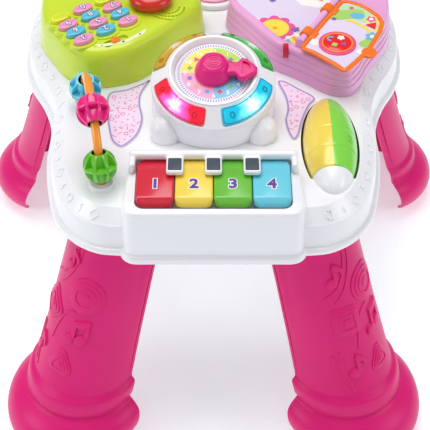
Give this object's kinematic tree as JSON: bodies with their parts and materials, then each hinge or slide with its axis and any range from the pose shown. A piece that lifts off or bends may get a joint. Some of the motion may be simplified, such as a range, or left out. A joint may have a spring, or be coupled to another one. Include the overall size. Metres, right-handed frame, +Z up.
{
  "type": "musical activity table",
  "caption": "Baby's standing play table: lobed top on splayed open-backed legs, with piano keys, clock dome, telephone, page-turning book, bead wire, roller and spinning disc.",
  "frame": {"origin": "on the floor in the middle of the four feet", "axes": "+Z up, -Y the front with the piano keys, +X to the right of someone who stands in front"},
  "size_m": [0.5776, 0.5366, 0.3942],
  "materials": {
    "abs_white": "satin gloss",
    "abs_grey": "matt",
    "screw_steel": "zinc plated",
    "cell_jacket": "gloss",
    "board_green": "solder mask",
    "speaker_black": "matt",
    "leg_pink": "satin",
    "dial_print": "printed",
    "hand_pink": "gloss",
    "lamp_green": "translucent",
    "lamp_yellow": "translucent",
    "lamp_red": "translucent",
    "lamp_cyan": "translucent",
    "key_red": "gloss",
    "key_yellow": "gloss",
    "key_green": "gloss",
    "key_blue": "gloss",
    "sharp_slate": "matt",
    "wire_orange": "gloss",
    "bead_green": "gloss",
    "bead_pink": "gloss",
    "bead_blue": "gloss",
    "roller_two_tone": "gloss, yellow and green halves",
    "phone_lime": "gloss",
    "phone_pink": "gloss",
    "phone_blue": "gloss",
    "phone_oval": "gloss",
    "slider_orange": "gloss",
    "handset_red": "gloss",
    "book_lilac": "gloss",
    "page_orange": "gloss, printed face",
    "tab_red": "gloss",
    "disc_pink": "gloss",
    "panel_print": "printed"
  },
  "bodies": {
    "table": {"top_shell": "abs_white", "bottom_cover": "abs_grey", "battery_door": "abs_grey", "battery_door_screw": "screw_steel", "battery_cell_1": "cell_jacket", "battery_cell_2": "cell_jacket", "battery_cell_3": "cell_jacket", "circuit_board": "board_green", "speaker": "speaker_black", "leg_front_left": "leg_pink", "leg_front_right": "leg_pink", "leg_rear_left": "leg_pink", "leg_rear_right": "leg_pink", "clock_housing": "abs_white", "clock_dial": "dial_print", "key_bar": "abs_white", "bead_wire": "wire_orange", "phone_base": "phone_lime", "book_base": "book_lilac", "spine_rod": "book_lilac", "bookmark_tab": "tab_red", "disc_base": "abs_white", "deco_panel_left": "panel_print", "deco_panel_right": "panel_print"},
    "clock_hand": {"clock_hand": "hand_pink"},
    "light_button_green": {"light_button_green": "lamp_green"},
    "light_button_yellow": {"light_button_yellow": "lamp_yellow"},
    "light_button_red": {"light_button_red": "lamp_red"},
    "light_button_cyan": {"light_button_cyan": "lamp_cyan"},
    "piano_key_1": {"piano_key_1": "key_red"},
    "piano_key_2": {"piano_key_2": "key_yellow"},
    "piano_key_3": {"piano_key_3": "key_green"},
    "piano_key_4": {"piano_key_4": "key_blue"},
    "sharp_key_1": {"sharp_key_1": "sharp_slate"},
    "sharp_key_2": {"sharp_key_2": "sharp_slate"},
    "sharp_key_3": {"sharp_key_3": "sharp_slate"},
    "bead_green": {"bead_green": "bead_green"},
    "bead_pink": {"bead_pink": "bead_pink"},
    "bead_blue": {"bead_blue": "bead_blue"},
    "roller": {"roller": "roller_two_tone"},
    "phone_key_1_1": {"phone_key_1_1": "phone_pink"},
    "phone_key_1_2": {"phone_key_1_2": "phone_blue"},
    "phone_key_1_3": {"phone_key_1_3": "phone_pink"},
    "phone_key_2_1": {"phone_key_2_1": "phone_blue"},
    "phone_key_2_2": {"phone_key_2_2": "phone_pink"},
    "phone_key_2_3": {"phone_key_2_3": "phone_blue"},
    "phone_key_3_1": {"phone_key_3_1": "phone_pink"},
    "phone_key_3_2": {"phone_key_3_2": "phone_blue"},
    "phone_key_3_3": {"phone_key_3_3": "phone_pink"},
    "phone_key_4_1": {"phone_key_4_1": "phone_oval"},
    "phone_key_4_2": {"phone_key_4_2": "phone_pink"},
    "phone_key_4_3": {"phone_key_4_3": "phone_oval"},
    "mode_switch": {"mode_switch": "slider_orange"},
    "handset": {"handset": "handset_red"},
    "book_page": {"book_page": "page_orange"},
    "spin_disc": {"spin_disc": "disc_pink"}
  },
  "joints": [
    {"name": "clock_hand_turn", "type": "hinge", "parent": "table", "child": "clock_hand", "pos_m": [0, -0.0185, 0.312], "axis": [0, -0.2079, 0.9781], "continuous": true},
    {"name": "light_button_green_press", "type": "slide", "parent": "table", "child": "light_button_green", "axis": [0, 0.2079, -0.9781], "range_m": [0, 0.0018], "stiffness_N_per_m": 800, "springref_m": -0.002},
    {"name": "light_button_yellow_press", "type": "slide", "parent": "table", "child": "light_button_yellow", "axis": [0, 0.2079, -0.9781], "range_m": [0, 0.0018], "stiffness_N_per_m": 800, "springref_m": -0.002},
    {"name": "light_button_red_press", "type": "slide", "parent": "table", "child": "light_button_red", "axis": [0, 0.2079, -0.9781], "range_m": [0, 0.0018], "stiffness_N_per_m": 800, "springref_m": -0.002},
    {"name": "light_button_cyan_press", "type": "slide", "parent": "table", "child": "light_button_cyan", "axis": [0, 0.2079, -0.9781], "range_m": [0, 0.0018], "stiffness_N_per_m": 800, "springref_m": -0.002},
    {"name": "piano_key_1_press", "type": "hinge", "parent": "table", "child": "piano_key_1", "pos_m": [-0.0576, -0.1273, 0.335], "axis": [1, 0, 0], "range_deg": [0, 3.5], "stiffness_Nm_per_rad": 0.5, "springref_deg": -17.19},
    {"name": "piano_key_2_press", "type": "hinge", "parent": "table", "child": "piano_key_2", "pos_m": [-0.0192, -0.1273, 0.335], "axis": [1, 0, 0], "range_deg": [0, 3.5], "stiffness_Nm_per_rad": 0.5, "springref_deg": -17.19},
    {"name": "piano_key_3_press", "type": "hinge", "parent": "table", "child": "piano_key_3", "pos_m": [0.0192, -0.1273, 0.335], "axis": [1, 0, 0], "range_deg": [0, 3.5], "stiffness_Nm_per_rad": 0.5, "springref_deg": -17.19},
    {"name": "piano_key_4_press", "type": "hinge", "parent": "table", "child": "piano_key_4", "pos_m": [0.0576, -0.1273, 0.335], "axis": [1, 0, 0], "range_deg": [0, 3.5], "stiffness_Nm_per_rad": 0.5, "springref_deg": -17.19},
    {"name": "sharp_key_1_press", "type": "slide", "parent": "table", "child": "sharp_key_1", "axis": [0, 0, -1], "range_m": [0, 0.0015], "stiffness_N_per_m": 600, "springref_m": -0.002},
    {"name": "sharp_key_2_press", "type": "slide", "parent": "table", "child": "sharp_key_2", "axis": [0, 0, -1], "range_m": [0, 0.0015], "stiffness_N_per_m": 600, "springref_m": -0.002},
    {"name": "sharp_key_3_press", "type": "slide", "parent": "table", "child": "sharp_key_3", "axis": [0, 0, -1], "range_m": [0, 0.0015], "stiffness_N_per_m": 600, "springref_m": -0.002},
    {"name": "bead_green_travel", "type": "hinge", "parent": "table", "child": "bead_green", "pos_m": [-0.125, -0.075, 0.317], "axis": [-0.9829, -0.1843, 0], "range_deg": [0, 12]},
    {"name": "bead_pink_travel", "type": "hinge", "parent": "table", "child": "bead_pink", "pos_m": [-0.125, -0.075, 0.317], "axis": [-0.9829, -0.1843, 0], "range_deg": [-4, 50]},
    {"name": "bead_blue_travel", "type": "hinge", "parent": "table", "child": "bead_blue", "pos_m": [-0.125, -0.075, 0.317], "axis": [-0.9829, -0.1843, 0], "range_deg": [-12, 0]},
    {"name": "roller_spin", "type": "hinge", "parent": "table", "child": "roller", "pos_m": [0.1215, -0.081, 0.309], "axis": [0, 1, 0], "continuous": true},
    {"name": "phone_key_1_1_press", "type": "slide", "parent": "table", "child": "phone_key_1_1", "axis": [0, 0, -1], "range_m": [0, 0.002], "stiffness_N_per_m": 500, "springref_m": -0.002},
    {"name": "phone_key_1_2_press", "type": "slide", "parent": "table", "child": "phone_key_1_2", "axis": [0, 0, -1], "range_m": [0, 0.002], "stiffness_N_per_m": 500, "springref_m": -0.002},
    {"name": "phone_key_1_3_press", "type": "slide", "parent": "table", "child": "phone_key_1_3", "axis": [0, 0, -1], "range_m": [0, 0.002], "stiffness_N_per_m": 500, "springref_m": -0.002},
    {"name": "phone_key_2_1_press", "type": "slide", "parent": "table", "child": "phone_key_2_1", "axis": [0, 0, -1], "range_m": [0, 0.002], "stiffness_N_per_m": 500, "springref_m": -0.002},
    {"name": "phone_key_2_2_press", "type": "slide", "parent": "table", "child": "phone_key_2_2", "axis": [0, 0, -1], "range_m": [0, 0.002], "stiffness_N_per_m": 500, "springref_m": -0.002},
    {"name": "phone_key_2_3_press", "type": "slide", "parent": "table", "child": "phone_key_2_3", "axis": [0, 0, -1], "range_m": [0, 0.002], "stiffness_N_per_m": 500, "springref_m": -0.002},
    {"name": "phone_key_3_1_press", "type": "slide", "parent": "table", "child": "phone_key_3_1", "axis": [0, 0, -1], "range_m": [0, 0.002], "stiffness_N_per_m": 500, "springref_m": -0.002},
    {"name": "phone_key_3_2_press", "type": "slide", "parent": "table", "child": "phone_key_3_2", "axis": [0, 0, -1], "range_m": [0, 0.002], "stiffness_N_per_m": 500, "springref_m": -0.002},
    {"name": "phone_key_3_3_press", "type": "slide", "parent": "table", "child": "phone_key_3_3", "axis": [0, 0, -1], "range_m": [0, 0.002], "stiffness_N_per_m": 500, "springref_m": -0.002},
    {"name": "phone_key_4_1_press", "type": "slide", "parent": "table", "child": "phone_key_4_1", "axis": [0, 0, -1], "range_m": [0, 0.002], "stiffness_N_per_m": 500, "springref_m": -0.002},
    {"name": "phone_key_4_2_press", "type": "slide", "parent": "table", "child": "phone_key_4_2", "axis": [0, 0, -1], "range_m": [0, 0.002], "stiffness_N_per_m": 500, "springref_m": -0.002},
    {"name": "phone_key_4_3_press", "type": "slide", "parent": "table", "child": "phone_key_4_3", "axis": [0, 0, -1], "range_m": [0, 0.002], "stiffness_N_per_m": 500, "springref_m": -0.002},
    {"name": "mode_switch_slide", "type": "slide", "parent": "table", "child": "mode_switch", "axis": [0.809, 0.5878, 0], "range_m": [-0.0085, 0.0085]},
    {"name": "handset_lift", "type": "slide", "parent": "table", "child": "handset", "axis": [0, 0, 1], "range_m": [0, 0.12]},
    {"name": "book_page_turn", "type": "hinge", "parent": "table", "child": "book_page", "pos_m": [0.095, 0.043, 0.3544], "axis": [-0.503, -0.8643, 0], "range_deg": [0, 175]},
    {"name": "spin_disc_turn", "type": "hinge", "parent": "table", "child": "spin_disc", "pos_m": [0, 0.193, 0.312], "axis": [0, 0, 1], "continuous": true}
  ]
}
